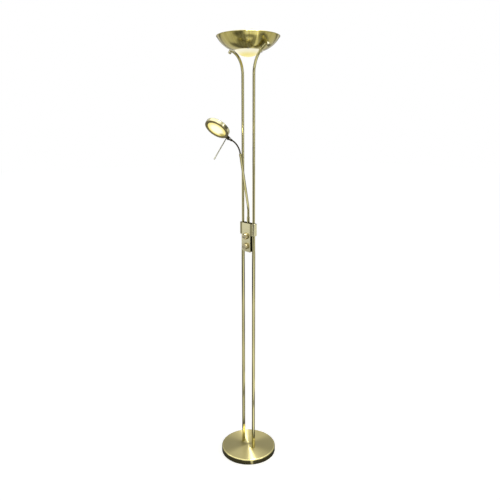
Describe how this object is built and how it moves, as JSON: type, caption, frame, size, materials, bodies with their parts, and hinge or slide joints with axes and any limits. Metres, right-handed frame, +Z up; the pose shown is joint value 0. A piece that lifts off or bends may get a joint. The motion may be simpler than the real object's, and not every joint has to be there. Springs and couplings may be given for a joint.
{
  "type": "torchiere floor lamp",
  "caption": "Twin-stem uplighter floor lamp with a round weighted base, an open bowl over a glass dish, dimmer knobs on a collar and a reading light on a swivelling arm.",
  "frame": {"origin": "on the floor under the centre of the round base", "axes": "+Z up along the stems, the two stems stand on the X axis, the dimmer knobs and the reading light face -Y"},
  "size_m": [0.2586, 0.3177, 1.8],
  "materials": {
    "satin_brass": "satin, circularly brushed",
    "polished_brass": "polished",
    "knob_brass": "satin",
    "lit_glass": "frosted, lit from behind",
    "quartz": "clear, lit",
    "ceramic": "matt white",
    "reflector": "bright",
    "black_plastic": "matt black",
    "grey_plastic": "matt grey",
    "circuit_board": "green lacquer",
    "cast_iron": "rough, painted black",
    "pad": "matt black foam rubber",
    "plated_steel": "zinc plated",
    "handle_steel": "satin nickel plated"
  },
  "bodies": {
    "stand": {"base_cover": "satin_brass", "base_weight": "cast_iron", "base_pad": "pad", "cord_gland": "black_plastic", "foot_nipples": "plated_steel", "foot_washers": "plated_steel", "foot_nuts": "plated_steel", "foot_inserts": "plated_steel", "lower_stem_left": "polished_brass", "lower_stem_right": "polished_brass", "middle_stem_left": "polished_brass", "middle_stem_right": "polished_brass", "upper_stem_left": "polished_brass", "upper_stem_right": "polished_brass", "bowl_post_left": "polished_brass", "bowl_post_right": "polished_brass", "lamp_holder_left": "ceramic", "lamp_holder_right": "ceramic", "collar": "satin_brass", "collar_core": "black_plastic", "set_screws": "plated_steel", "switch_back": "black_plastic", "case_screws": "plated_steel", "dimmer_nuts": "plated_steel", "dimmer_board": "circuit_board", "dimmer_upper": "grey_plastic", "dimmer_lower": "grey_plastic", "swivel_bush": "polished_brass", "bowl": "satin_brass", "bowl_dish": "lit_glass", "dish_clips": "plated_steel", "clip_screws": "plated_steel", "post_nipples": "plated_steel", "post_nuts": "plated_steel", "lamp_bracket": "plated_steel", "holder_screws": "plated_steel", "linear_lamp": "quartz"},
    "arm": {"arm_tube": "polished_brass", "arm_ring": "polished_brass", "arm_retainer": "plated_steel", "arm_ferrule": "polished_brass", "arm_neck": "polished_brass"},
    "knuckle": {"knuckle": "polished_brass"},
    "head": {"head_shell": "polished_brass", "head_ring": "satin_brass", "head_glass": "lit_glass", "head_reflector": "reflector", "capsule_holder": "ceramic", "capsule_lamp": "quartz", "head_bracket": "polished_brass", "bracket_screws": "plated_steel", "tilt_screw": "plated_steel", "tilt_nut": "plated_steel", "head_handle": "handle_steel", "handle_tip": "handle_steel"},
    "knob_upper": {"knob_upper": "knob_brass", "spindle_upper": "plated_steel"},
    "knob_lower": {"knob_lower": "knob_brass", "spindle_lower": "plated_steel"}
  },
  "joints": [
    {"name": "arm_swivel", "type": "hinge", "parent": "stand", "child": "arm", "pos_m": [0, 0, 1.064], "axis": [0, 0, 1], "range_deg": [-68, 68]},
    {"name": "head_turn", "type": "hinge", "parent": "arm", "child": "knuckle", "pos_m": [0, -0.09727, 1.40995], "axis": [0, -0.9135, 0.4067], "range_deg": [-90, 90]},
    {"name": "head_tilt", "type": "hinge", "parent": "knuckle", "child": "head", "pos_m": [0, -0.09727, 1.40995], "axis": [0.9925, 0.0496, 0.1113], "range_deg": [-60, 65]},
    {"name": "upper_knob_turn", "type": "hinge", "parent": "stand", "child": "knob_upper", "pos_m": [0, -0.0136, 1.009], "axis": [0, -1, 0], "range_deg": [-270, 0]},
    {"name": "lower_knob_turn", "type": "hinge", "parent": "stand", "child": "knob_lower", "pos_m": [0, -0.0136, 0.966], "axis": [0, -1, 0], "range_deg": [-270, 0]}
  ]
}
